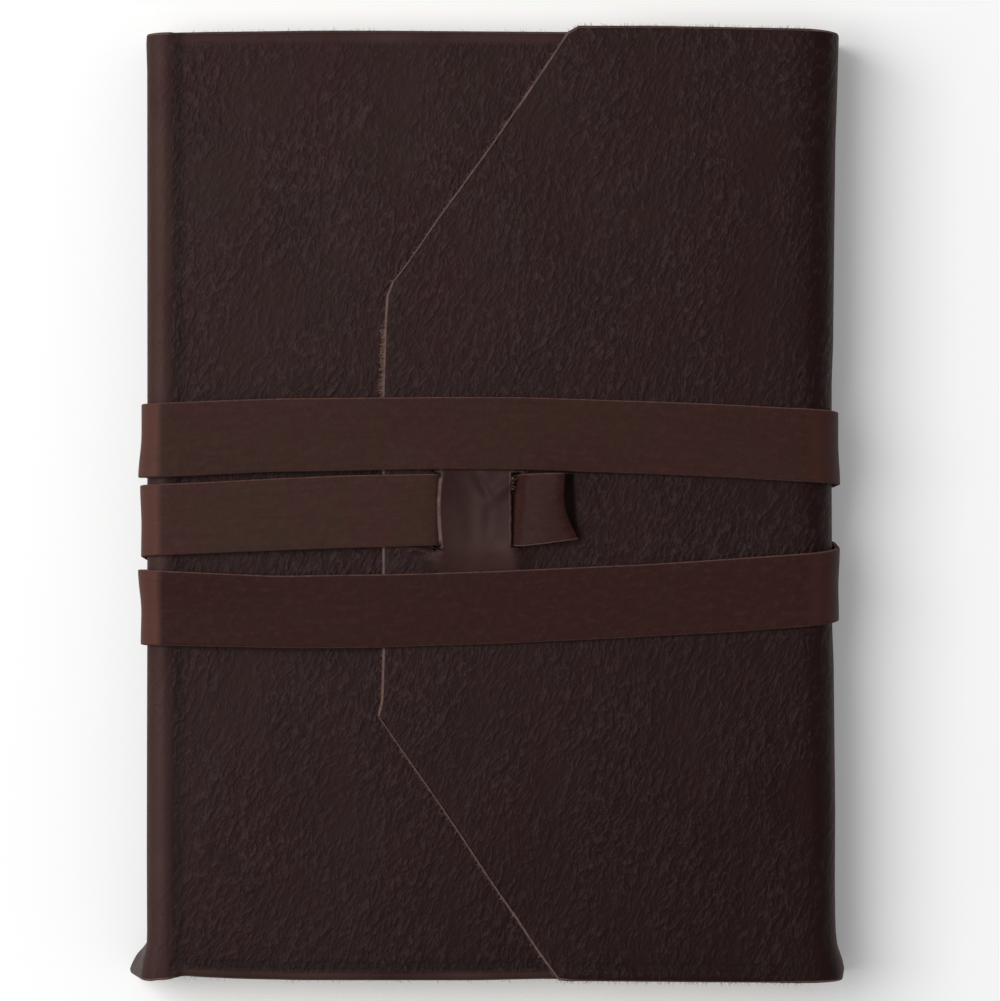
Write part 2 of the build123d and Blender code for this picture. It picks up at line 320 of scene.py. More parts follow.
def flap_place(x):
    """The place on the flat hide of a point of the flap."""
    return FLAP_START + FLAP_X0 - x


def end_tables():
    """Where the hide's head and tail ends lie, by place on the flat hide."""
    head = [(FREE_EDGE_X - x, y) for x, y in reversed(FRONT_HEAD)]
    tail = [(FREE_EDGE_X - x, y) for x, y in reversed(FRONT_TAIL)]
    middle = (BACK_START + BACK_END) / 2.0
    head += [(middle, HEAD_Y), (FORE_WALL, 106.6), (FORE_BEND, 106.9)]
    tail += [(middle, TAIL_Y), (FORE_WALL, -107.8), (FORE_BEND, -108.0)]
    head += [(flap_place(x), y) for x, y in reversed(FLAP_HEAD)]
    tail += [(flap_place(x), y) for x, y in reversed(FLAP_TAIL)]
    return head, tail


HIDE_HEAD, HIDE_TAIL = end_tables()
HIDE_LINES = {}


def from_ends(place, y):
    """How far a point of the flat hide lies from its tail end and from its head end."""
    return y - look_up(HIDE_TAIL, place), look_up(HIDE_HEAD, place) - y


def swell(x, y):
    """Slow waves in the leather away from the strap's bands."""
    free = max(ease(28.0, 52.0, y), ease(-36.0, -60.0, y))
    wave = noise.noise(Vector((x * 0.022, y * 0.03, 4.2)))
    wave += 0.45 * noise.noise(Vector((x * 0.06, y * 0.05, 9.1)))
    return free * 0.55 * max(0.0, wave + 0.35)


def end_profile(from_end):
    """How the leather rises past the pages and rolls over at a cut end."""
    lip = 0.35 * (1.0 - ease(2.3, 3.5, from_end))
    groove = -0.12 * math.exp(-(((from_end - 3.6) / 0.5) ** 2))
    roll = -0.55 * (1.0 - ease(0.0, 1.3, from_end))
    return lip + groove + roll


def head_slope(from_end):
    """How the leather slopes down over its last two millimetres at the head."""
    return -0.45 * (1.0 - ease(0.0, 2.6, from_end))


def crease(x, y, stroke):
    """The height that one crease gives at a point."""
    x0, y0, x1, y1, half_width, height = stroke
    run = Vector((x1 - x0, y1 - y0))
    share = min(max(((x - x0) * run.x + (y - y0) * run.y) / run.length_squared, 0.0), 1.0)
    away = math.hypot(x - x0 - run.x * share, y - y0 - run.y * share)
    return height * math.exp(-((away / half_width) ** 2)) * math.sin(math.pi * lerp(0.15, 0.85, share))


def bridge_height(x, y):
    """How far the flap is lifted where the strap is laced under it."""
    beside = abs(y - BRIDGE_Y)
    foot = HEAD_FOOT if y > BRIDGE_Y else TAIL_FOOT
    along = 1.0 - ease(8.5, foot, beside)
    middle = (BRIDGE_LOW_X + BRIDGE_HIGH_X) / 2.0
    inside = min(max(x, BRIDGE_LOW_X), BRIDGE_HIGH_X)
    share = abs(inside - middle) / (BRIDGE_HIGH_X - middle)
    lip = LIP_RISE if x < middle else RIGHT_LIP_RISE
    rise = lerp(BRIDGE_RISE, lip, share**2.5) * along
    outside = abs(x - inside)
    if outside == 0.0:
        return rise
    flap_side = ease(8.0, 12.6, beside) * (1.0 - ease(0.0, 4.5, outside - SLIT_MOUTH))
    return rise * lerp(1.0, flap_side, min(outside / SLIT_MOUTH, 1.0))


def hide_lift(place, x, y):
    """How far the hide's surface stands off its folded line."""
    from_tail, from_head = from_ends(place, y)
    if place < FRONT_END:
        lift = swell(x, y) * ease(-71.0, -60.0, x)
        return lift + end_profile(from_tail) + head_slope(from_head)
    if place > FLAP_START:
        inward = ease(FLAP_X0, FLAP_X0 - 12.0, x)
        lift = swell(x, y) * inward
        square_end = ease(17.0, 21.0, x)
        lift += square_end * inward * (end_profile(from_tail) + 0.5 * head_slope(from_head))
        lift += bridge_height(x, y) + sum(crease(x, y, stroke) for stroke in CREASES)
        return lift
    return 0.0


def hide_point(place, y):
    """The point in space of a point on the flat hide's grain side, with its outward direction."""
    line = round(y, 4)
    if line not in HIDE_LINES:
        HIDE_LINES[line] = hide_runs(y)
    runs = HIDE_LINES[line]
    index = stretch_at(HIDE_STARTS, place)
    share = (place - HIDE_STARTS[index]) / STRAIGHT_HIDE[index].length
    point, along = runs[index].at(share)
    outward = Vector((along.z, 0.0, -along.x))
    spot = point + outward * hide_lift(place, point.x, y)
    if place > FLAP_START:
        beside = min(abs(y - BRIDGE_Y) / SLIT_HALF, 1.0)
        near = ease(BRIDGE_LOW_X + 5.0, BRIDGE_LOW_X, spot.x)
        near *= ease(BRIDGE_LOW_X - 1.2, BRIDGE_LOW_X, spot.x)
        spot.x -= LIP_BOW * near * (1.0 - beside * beside)
    spot.y = y
    return spot, outward


class Value:
    """A node's output socket that takes part in sums."""

    def __init__(self, shade, socket):
        self.shade, self.socket = shade, socket

    def sum(self, operation, *parts):
        return self.shade.node("ShaderNodeMath", {"operation": operation}, dict(enumerate(parts)))

    def __add__(self, other):
        return self.sum("ADD", self, other)

    def __radd__(self, other):
        return self.sum("ADD", other, self)

    def __sub__(self, other):
        return self.sum("SUBTRACT", self, other)

    def __rsub__(self, other):
        return self.sum("SUBTRACT", other, self)

    def __mul__(self, other):
        return self.sum("MULTIPLY", self, other)

    def __rmul__(self, other):
        return self.sum("MULTIPLY", other, self)

    def __pow__(self, other):
        return self.sum("POWER", self, other)

    def clip(self):
        return self.shade.node("ShaderNodeClamp", {}, {"Value": self})

    def size(self):
        return self.sum("ABSOLUTE", self)

    def wave(self):
        return self.sum("SINE", self)


class Shade:
    """The nodes of one material, or of the world."""

    def __init__(self, owner):
        self.owner = owner
        owner.use_nodes = True
        self.nodes = owner.node_tree.nodes
        self.links = owner.node_tree.links
        self.nodes.clear()

    def node(self, kind, settings=None, values=None, output=0):
        """Adds a node, sets it up, fills its sockets and gives its output, if it has one."""
        made = self.nodes.new(kind)
        for key, setting in (settings or {}).items():
            setattr(made, key, setting)
        for key, value in (values or {}).items():
            socket = made.inputs[key]
            if isinstance(value, Value):
                self.links.new(value.socket, socket)
            elif isinstance(value, tuple) and socket.type == "RGBA":
                socket.default_value = (*value[:3], 1.0)
            else:
                socket.default_value = value
        return Value(self, made.outputs[output]) if len(made.outputs) else None

    def blend(self, factor, first, second, kind="MIX"):
        """A colour between two colours."""
        settings = {"data_type": "RGBA", "blend_type": kind, "clamp_factor": True}
        return self.node("ShaderNodeMix", settings, {0: factor, 6: first, 7: second}, 2)

    def moved(self, vector, scale=(1.0, 1.0, 1.0), turn=0.0, shift=(0.0, 0.0, 0.0)):
        values = {"Vector": vector, "Scale": scale, "Rotation": (0.0, 0.0, turn), "Location": shift}
        return self.node("ShaderNodeMapping", {"vector_type": "POINT"}, values)

    def clouds(self, vector, scale, detail=3.0, rough=0.55, output="Fac"):
        values = {"Vector": vector, "Scale": scale, "Detail": detail, "Roughness": rough}
        return self.node("ShaderNodeTexNoise", {"noise_dimensions": "3D"}, values, output)

    def crests(self, vector, scale, sharpness):
        """Thin winding ridges, 1 on a crest and 0 between them."""
        soft = self.clouds(vector, scale, 1.0, 0.4)
        return (1.0 - (soft * 2.0 - 1.0).size() * sharpness).clip() ** 1.5

    def pebbles(self, vector):
        """Round grains, 1 in the middle of each."""
        values = {"Vector": vector, "Scale": 1.0, "Randomness": 1.0}
        return 1.0 - self.node("ShaderNodeTexVoronoi", {"feature": "SMOOTH_F1"}, values, "Distance")

    def warped(self, vector, scale, reach):
        """The coordinates pushed about by soft noise, by up to half of reach."""
        push = self.clouds(vector, scale, 2.0, 0.5, "Color")
        kind = "ShaderNodeVectorMath"
        centred = self.node(kind, {"operation": "SUBTRACT"}, {0: push, 1: (0.5, 0.5, 0.5)})
        grown = self.node(kind, {"operation": "SCALE"}, {0: centred, "Scale": reach})
        return self.node(kind, {"operation": "ADD"}, {0: vector, 1: grown})

    def flat(self):
        """The piece's own flat pattern, in millimetres."""
        unrolled = self.node("ShaderNodeUVMap", {"uv_map": "flat"}, {}, "UV")
        return self.moved(unrolled, (1000.0, 1000.0, 1000.0))

    def solid(self):
        """Places in the journal's frame, in millimetres."""
        spots = self.node("ShaderNodeTexCoord", {}, {}, "Object")
        return self.moved(spots, (1000.0, 1000.0, 1000.0))

    def mark(self, name):
        """A number painted on the piece's points."""
        return self.node("ShaderNodeAttribute", {"attribute_name": name}, {}, "Fac")

    def axis(self, vector, name):
        return self.node("ShaderNodeSeparateXYZ", {}, {"Vector": vector}, name)

    def bump(self, height, distance, strength=1.0):
        values = {"Height": height, "Distance": distance, "Strength": strength}
        return self.node("ShaderNodeBump", {}, values)

    def finish(self, colour, roughness, normal=None, **fixed):
        """Joins the colour, roughness and normal to the surface."""
        values = {"Base Color": colour, "Roughness": roughness}
        if normal is not None:
            values["Normal"] = normal
        values.update({key.replace("_", " "): value for key, value in fixed.items()})
        surface = self.node("ShaderNodeBsdfPrincipled", {}, values)
        self.node("ShaderNodeOutputMaterial", {}, {"Surface": surface})
        return self.owner


def grain_leather(name, sizes, grain, streaks, shine):
    """Grain side of the leather: fine wrinkled cells and slow mottling, with painted shade in the creases
    and valleys and a painted highlight on the crests.
    """
    cool, warm, deep, shade_and_streak_brown, worn = (
        tuple(colour) for colour in (sizes.cool, sizes.warm, sizes.deep, sizes.shade_and_streak_brown, sizes.worn)
    )
    shade = Shade(bpy.data.materials.new(name))
    flat = shade.flat()
    turned = shade.warped(shade.moved(flat, turn=math.radians(-22.0)), 0.03, 8.0)
    bent = shade.warped(turned, 0.3, 0.8)
    broken = ((shade.clouds(flat, 0.45, 2.0) - 0.38) * 5.0).clip()
    crests = shade.crests(shade.moved(bent, (0.5, 0.2, 1.0)), 1.0, 3.4) * broken
    crossed = shade.warped(shade.moved(turned, turn=math.radians(20.0), shift=(31.0, 7.0, 4.0)), 0.8, 0.9)
    small_crests = shade.crests(shade.moved(crossed, (0.95, 0.5, 1.0)), 1.0, 3.0)
    pads = shade.clouds(shade.moved(bent, (0.62, 0.34, 1.0)), 1.0, 1.0, 0.5)
    calm = (shade.clouds(shade.moved(flat, (1.0, 0.6, 1.0)), 0.06, 2.0, 0.5) * 2.4 - 0.45).clip()
    pebbles = shade.pebbles(shade.moved(bent, (0.95, 0.5, 1.0)))
    dust = shade.clouds(flat, 3.2, 3.0, 0.6)
    long_lines = shade.clouds(shade.moved(turned, (1.3, 0.3, 1.0)), 0.2, 4.0, 0.6)
    folds = (1.0 - (long_lines * 2.0 - 1.0).size()) ** 12.0
    loose = (1.0 - shade.mark("stretched") * 0.9) * calm * grain
    wrinkles = (crests * 0.75 + small_crests * 0.25) * loose
    height = wrinkles * 0.56 + (pads * 0.8 + pebbles * 0.05 - folds * 0.15) * loose + dust * 0.04
    mottle = shade.clouds(shade.moved(flat, (1.0, 0.7, 1.0)), 0.05, 5.0, 0.6)
    patches = ((mottle - 0.5) * 5.0 + 0.78).clip()
    colour = shade.blend(patches, cool, warm)
    # Darker towards deep brown by the darkness mark: painted shade on the cover where the light falls off;
    # on the strap, its darker stretches and painted shade on the rolled end
    colour = shade.blend(shade.mark("darkness_and_shade"), colour, deep)
    # Painted shade: darker in the wrinkles' valleys and along the long folds
    low = ((1.0 - wrinkles * 1.6).clip() * 0.16 + folds * 0.15) * loose
    colour = shade.blend(low.clip(), colour, shade_and_streak_brown)
    # Painted highlight on the wrinkles' crests, weaker where the leather is painted darker
    painted_crest_highlight = (wrinkles - 0.18).clip() * (1.0 - shade.mark("darkness_and_shade") * 0.35)
    colour = shade.blend(painted_crest_highlight, colour, CREST_PAINTED_HIGHLIGHT, "ADD")
    if streaks > 0.0:
        drawn = shade.clouds(shade.moved(flat, (0.05, 1.0, 1.0)), 0.9, 4.0, 0.6)
        flecks = shade.clouds(shade.moved(flat, (0.8, 1.3, 1.0)), 0.5, 5.0, 0.7)
        colour = shade.blend(((flecks - 0.48) * 4.0).clip() * 0.2, colour, worn)
        colour = shade.blend(((0.46 - flecks) * 4.0).clip() * 0.3, colour, deep)
        colour = shade.blend(((drawn - 0.45) * 2.2).clip() * streaks, colour, shade_and_streak_brown)
        height = height + drawn * 0.14 + flecks * 0.3
        # Lighter at the bends and at the rise out of the slit: stretch lightening with painted highlight
        colour = shade.blend(shade.mark("bend") * (0.5 + drawn * 0.5), colour, worn)
        # Painted shade: where the darkness mark goes above 1, on the rolled tail end, turned away from the
        # light, the strap is painted nearly black
        painted_roll_shade = (shade.mark("darkness_and_shade") - 1.0).clip() * 0.85
        colour = shade.blend(painted_roll_shade, colour, tuple(part * 0.3 for part in shade_and_streak_brown))
    else:
        # Lighter by the wear mark: stretch wear over the spine and a lighter band at the ends, with painted
        # highlight on the spine's crest and on the fore edge's side
        colour = shade.blend(shade.mark("wear") * (0.3 + mottle * 0.9), colour, worn)
        # Lighter where stretched: over the bridge, along the ends and over the spine's crest, which also
        # carries painted highlight
        colour = shade.blend(shade.mark("stretched") * ((mottle - 0.5) * 2.0 + 0.4).clip(), colour, worn)
        # Painted shade from the crease mark, in grooves and slit corners; the cut ends are darkened too
        colour = shade.blend(shade.mark("crease") * 0.6, colour, shade_and_streak_brown)
    roughness = 0.52 + (shade.clouds(flat, 0.4, 3.0) - 0.5) * 0.2 - (pebbles - 0.5) * 0.08
    normal = shade.bump(height, 0.00045, 1.0)
    return shade.finish(colour, roughness, normal, Specular_IOR_Level=shine)


def cut_leather(name, core, light):
    """Raw cut edge or flesh side: open, matt fibres."""
    shade = Shade(bpy.data.materials.new(name))
    spots = shade.solid()
    nap = shade.clouds(spots, 3.0, 4.0, 0.65)
    tufts = shade.clouds(spots, 0.6, 3.0, 0.6)
    colour = shade.blend(((nap * 0.7 + tufts * 0.9 - 0.5) * 2.2).clip(), core, light)
    # Darker by the crease mark: painted shade in grooves, slit corners and on the strap's tail-side edge and
    # cut end; the hide's cut ends are darkened too
    colour = shade.blend(shade.mark("crease") * 0.85, colour, tuple(part * 0.25 for part in core))
    return shade.finish(colour, 0.9 - nap * 0.1, shade.bump(nap, 0.0002, 0.8), Specular_IOR_Level=0.15)


def paper_edges(name, cream, shadow):
    """Cream paper, whose sheets show as fine lines along the cut ends."""
    shade = Shade(bpy.data.materials.new(name))
    spots = shade.solid()
    layers = shade.clouds(shade.moved(spots, (0.012, 0.012, 7.0)), 1.0, 3.0, 0.7)
    fibres = shade.clouds(spots, 1.2, 3.0)
    lines = ((layers - 0.38) * 3.0).clip()
    colour = shade.blend(lines, shadow, cream)
    colour = shade.blend((fibres - 0.4).clip() * 0.5, colour, tuple(part * 0.9 for part in cream))
    normal = shade.bump(layers * 0.7 + fibres * 0.3, 0.00012, 0.6)
    return shade.finish(colour, 0.82 + fibres * 0.08, normal, Specular_IOR_Level=0.25)


def woven_cloth(name, light, dark, pitch):
    """Plain weave, seen as crossing threads."""
    shade = Shade(bpy.data.materials.new(name))
    spots = shade.solid()
    turns = 2.0 * math.pi / pitch
    warp = (shade.axis(spots, "Y") * turns).wave().size()
    weft = (shade.axis(spots, "Z") * turns).wave().size()
    weave = warp * 0.5 + weft * 0.5
    slub = shade.clouds(shade.moved(spots, (1.0, 0.1, 1.0)), 1.5, 3.0)
    colour = shade.blend((weave * 0.7 + slub * 0.4).clip(), dark, light)
    return shade.finish(colour, 0.88 - slub * 0.06, shade.bump(weave, 0.0001, 0.7), Specular_IOR_Level=0.2)


def waxed_thread(name, light, dark):
    """Twisted linen thread."""
    shade = Shade(bpy.data.materials.new(name))
    spots = shade.solid()
    twist = (shade.axis(spots, "Z") * 7.0 + shade.axis(spots, "Y") * 5.0).wave() * 0.5 + 0.5
    fluff = shade.clouds(spots, 4.0, 3.0)
    colour = shade.blend((twist * 0.7 + fluff * 0.4).clip(), dark, light)
    return shade.finish(colour, 0.7 - twist * 0.1, shade.bump(twist, 0.0001, 0.7), Specular_IOR_Level=0.3)


def new_piece(name, bm, materials):
    """Turns a finished bmesh into an object of the journal."""
    mesh = bpy.data.meshes.new(name)
    bm.to_mesh(mesh)
    bm.free()
    for material in materials:
        mesh.materials.append(material)
    mesh.shade_smooth()
    piece = bpy.data.objects.new(name, mesh)
    bpy.context.scene.collection.objects.link(piece)
    return piece


def flat_sheet(columns, rows):
    """A flat grid with its points at these places along and across, in millimetres."""
    bm = bmesh.new()
    along = len(columns) - 1
    across = len(rows) - 1
    bmesh.ops.create_grid(bm, x_segments=along, y_segments=across, size=1.0)
    for vert in bm.verts:
        i = round((vert.co.x + 1.0) / 2.0 * along)
        j = round((vert.co.y + 1.0) / 2.0 * across)
        vert.co = Vector((columns[i], rows[j], 0.0))
    return bm


def marks(bm, *names):
    """New numbers on the mesh's points, which the materials read by these names."""
    return [bm.verts.layers.float.new(name) for name in names]


def keep_flat(bm):
    """Keeps the flat places of all points as the piece's own map, in metres."""
    flat = bm.loops.layers.uv.new("flat")
    for face in bm.faces:
        for loop in face.loops:
            loop[flat].uv = (loop.vert.co.x * MM, loop.vert.co.y * MM)


def faces_within(bm, low_x, high_x, low_y, high_y, margin):
    """The faces whose middles lie in this box of a flat sheet, or within a margin round it."""
    found = []
    for face in bm.faces:
        x, y, _ = face.calc_center_median()
        if low_x - margin < x < high_x + margin and low_y - margin < y < high_y + margin:
            found.append(face)
    return found


def cut_slit(bm, low_x, high_x, low_y, high_y):
    """Cuts one straight slit out of the flat hide."""
    along = Vector((1.0, 0.0, 0.0))
    across = Vector((0.0, 1.0, 0.0))
    for place, way in ((low_x, along), (high_x, along), (low_y, across), (high_y, across)):
        near = faces_within(bm, low_x, high_x, low_y, high_y, 2.0)
        edges = list({edge for face in near for edge in face.edges})
        verts = list({vert for face in near for vert in face.verts})
        geometry = near + edges + verts
        bmesh.ops.bisect_plane(bm, geom=geometry, dist=1e-5, plane_co=way * place, plane_no=way)
    gone = faces_within(bm, low_x, high_x, low_y, high_y, 0.0)
    bmesh.ops.delete(bm, geom=gone, context="FACES")


def thicken(piece, thickness, offset, edge_round):
    """Gives a leather sheet its thickness and softly worn cut edges."""
    wall = piece.modifiers.new("leather thickness", "SOLIDIFY")
    wall.thickness = thickness
    wall.offset = offset
    wall.use_even_offset = False
    wall.material_offset = 2
    wall.material_offset_rim = 1
    worn = piece.modifiers.new("worn edges", "BEVEL")
    worn.width = edge_round
    worn.segments = 2
    worn.profile = 0.5
    worn.limit_method = "ANGLE"
    worn.angle_limit = math.radians(74.0)
    worn.material = 1
    worn.use_clamp_overlap = False


def hide_groove_shade(place, x, y):
    """Painted shade in the groove beside the spine joint and in the groove before the tail end; the cut ends
    at head and tail are darkened too.
    """
    from_tail, from_head = from_ends(place, y)
    mark = 0.0
    if place < CREST_BEND or place > FLAP_START:
        mark = math.exp(-(((from_tail - 3.4) / 1.1) ** 2))
        if min(from_tail, from_head) < 0.3:
            mark = 0.8
        if place > FLAP_START:
            mark *= ease(17.0, 21.0, x)
    groove = FRONT_END - 1.0
    return max(mark, math.exp(-(((place - groove) / 1.1) ** 2)))


def end_band(place, y):
    """How far the hide is made smooth and lighter along the front cover's head and tail ends."""
    if place > CREST_BEND:
        return 0.0
    from_tail, from_head = from_ends(place, y)
    return max(ease(3.4, 2.2, from_head), ease(2.6, 1.6, from_tail))


def slit_shade(x, y):
    """Painted shade in the corners of the slits and along the bridge's edge in the right slit."""
    beside = abs(y - BRIDGE_Y)
    if beside < SLIT_HALF and abs(x - BRIDGE_HIGH_X) < 0.5:
        return 0.75
    if not SLIT_HALF - 1.2 < beside < SLIT_HALF + 0.4:
        return 0.0
    left = BRIDGE_LOW_X - SLIT_MOUTH - 0.4 < x < BRIDGE_LOW_X + 0.4
    right = BRIDGE_HIGH_X - 0.4 < x < BRIDGE_HIGH_X + RIGHT_MOUTH + 0.4
    return 1.0 if left or right else 0.0


def bridge_stretch(x, y):
    """How far the grain is stretched smooth over the bridge."""
    over = ease(BRIDGE_LOW_X - 4.0, BRIDGE_LOW_X, x) * ease(BRIDGE_HIGH_X + 2.0, BRIDGE_HIGH_X, x)
    foot = HEAD_FOOT if y > BRIDGE_Y else TAIL_FOOT
    return over * (1.0 - ease(foot - 2.0, foot + 1.0, abs(y - BRIDGE_Y)))


def cover_painted_shade(place, x, y):
    """Painted shade on the cover: darker towards the lower right and the tail, where the light falls off,
    and over the fore-edge fold, which turns away from the light.
    """
    slow = 0.1 + 0.9 * ease(-120.0, 170.0, x - 0.55 * y) + 0.12 * ease(-20.0, -90.0, y)
    fore = ease(FLAP_START + 6.0, FLAP_START + 1.0, place) * ease(FLAP_START - 8.0, FLAP_START - 5.0, place)
    return max(slow, fore)


def amount(name, description, default, low=0.0, **kind):
    """A number that the panel sets."""
    return bpy.props.FloatProperty(name=name, description=description, default=default, min=low, **kind)


def metres(name, description, default, low=0.0):
    """A length that the panel sets."""
    return amount(name, description, default, low, unit="LENGTH")


def count_of(name, description, default):
    """A whole number that the panel sets."""
    return bpy.props.IntProperty(name=name, description=description, default=default, min=1)


def colour_of(name, description, red, green, blue):
    """A colour that the panel sets, from a screen colour of 0 to 255."""
    colour = {"default": tone(red, green, blue), "subtype": "COLOR"}
    return bpy.props.FloatVectorProperty(name=name, description=description, **colour)


class CoverSizes(bpy.types.PropertyGroup):
    leather: metres("Leather", "Thickness of the cover's hide", 0.0016, 0.0005)
    edge_round: metres("Edge wear", "How far the cut edges are worn round", 0.00055)
    grain: amount("Grain", "Strength of the wrinkled grain", 1.0, subtype="FACTOR")
    cool: colour_of("Cool brown", "Colour of the cover's cooler patches", 49, 26, 28)
    warm: colour_of("Warm brown", "Colour of the cover's warmer patches", 45, 29, 27)
    # Painted shade: the colour that the cover darkens towards where the light falls off and over the
    # fore-edge fold
    deep: colour_of("Deep brown", "Colour of the cover where its dye lies darkest", 32, 13, 12)
    # Painted shade: the colour of the shade in wrinkles, folds and grooves
    shade_and_streak_brown: colour_of("Wrinkle brown", "Colour at the bottom of wrinkles and creases", 24, 14, 14)
    # Colour of stretched leather, also used as painted highlight on the spine's crest and the fore edge's
    # side
    worn: colour_of("Worn brown", "Colour where the hide is stretched over the spine", 67, 46, 42)
    raw_edge: colour_of("Raw edge", "Colour of the cut edges", 108, 84, 79)
    flesh: colour_of("Flesh side", "Colour of the leather's inner side", 84, 60, 48)


class StrapSizes(bpy.types.PropertyGroup):
    leather: metres("Leather", "Thickness of the strap", 0.0012, 0.0004)
    edge_round: metres("Edge wear", "How far the strap's cut edges are worn round", 0.00028)
    cool: colour_of("Cool brown", "Colour of the strap's darker streaks", 64, 34, 34)
    warm: colour_of("Warm brown", "Colour of the strap's lighter patches", 57, 39, 30)
    # Colour of the strap's darker stretches and flecks, and painted shade on its rolled end
    deep: colour_of("Deep brown", "Colour of the strap where its dye lies darkest", 45, 21, 18)
    # Colour of the strap's streaks, and painted shade in its fine creases and on its rolled end
    shade_and_streak_brown: colour_of("Crease brown", "Colour in the strap's fine creases", 34, 17, 15)
    # Colour of the strap's stretched bends, which also carries painted highlight there and on the rise out
    # of the slit
    worn: colour_of("Bend brown", "Colour where the strap is stretched over the journal's edges", 86, 54, 47)


class PaperSizes(bpy.types.PropertyGroup):
    signatures: count_of("Signatures", "Number of folded and sewn signatures", 8)
    sheets: count_of("Sheets", "Folded sheets shown in each signature", 5)
    signature_thickness: metres("Signature thickness", "Thickness of one folded signature", 0.00225, 0.0002)
    height: metres("Page height", "Height of a page from tail to head", 0.21, 0.02)
    cream: colour_of("Paper", "Colour of the pages", 226, 215, 190)
    shadow: colour_of("Between sheets", "Colour between the sheets at the cut ends", 176, 160, 130)


class StageSizes(bpy.types.PropertyGroup):
    camera_height: metres("Camera height", "Height of the camera over the front cover", 1.2, 0.3)
    view_width: metres("View width", "Width that the camera sees at the front cover", 0.2261, 0.02)
    key_power: amount("Key light", "Power of the large soft light from the left", 18.0, unit="POWER")
    sky: amount("Surrounding light", "Strength of the even light from all round", 0.38)
    floor_lift: amount(
        "Floor lift", "How much whiter the floor shows to the camera", 0.085, subtype="FACTOR"
    )
    floor: bpy.props.FloatVectorProperty(
        name="Floor", description="Colour of the floor", default=(0.93, 0.93, 0.93), subtype="COLOR"
    )


def paint_hide(bm):
    """Marks the flat hide's points with how worn, stretched and dark they are: painted shade in grooves,
    slit corners and where the light falls off, and painted highlight on the spine's crest and the fore
    edge's side.
    """
    mark, wear, stretched, darkness_and_shade = marks(bm, "crease", "wear", "stretched", "darkness_and_shade")
    for vert in bm.verts:
        place = vert.co.x
        y = vert.co.y
        x = hide_point(place, y)[0].x
        # The crease mark carries painted shade in the grooves, and darkens the cut ends
        vert[mark] = hide_groove_shade(place, x, y)
        if place > FLAP_START:
            # Painted shade in the slit corners
            vert[mark] = max(vert[mark], slit_shade(x, y))
            vert[stretched] = bridge_stretch(x, y)
        # Stretch wear over the spine's crest, with painted highlight where the crest faces the light, weaker
        # towards the tail
        reach = lerp(SPINE_WALL + 6.0, SPINE_FOOT + 3.0, ease(-96.0, -100.0, y))
        spine = ease(FRONT_END - 0.1, CREST_BEND, place) * ease(reach, reach - 6.0, place)
        uneven = 0.3 * noise.noise(Vector((place * 0.2, y * 0.1, 1.5)))
        vert[wear] = spine * (0.88 - 0.14 * ease(30.0, -80.0, y) + uneven)
        band = end_band(place, y)
        vert[wear] = max(vert[wear], 0.3 * band)
        vert[stretched] = max(vert[stretched], 0.7 * spine, 0.9 * band)
        # Painted highlight on the side of the fore edge, which catches light from the right
        rim_highlight = ease(FLAP_START - 5.5, FLAP_START - 8.5, place)
        rim_highlight *= ease(FORE_BEND - 10.0, FORE_BEND - 3.0, place)
        vert[wear] = max(vert[wear], 0.6 * rim_highlight)
        # Painted shade where the light falls off and over the fore-edge fold
        vert[darkness_and_shade] = cover_painted_shade(place, x, y)


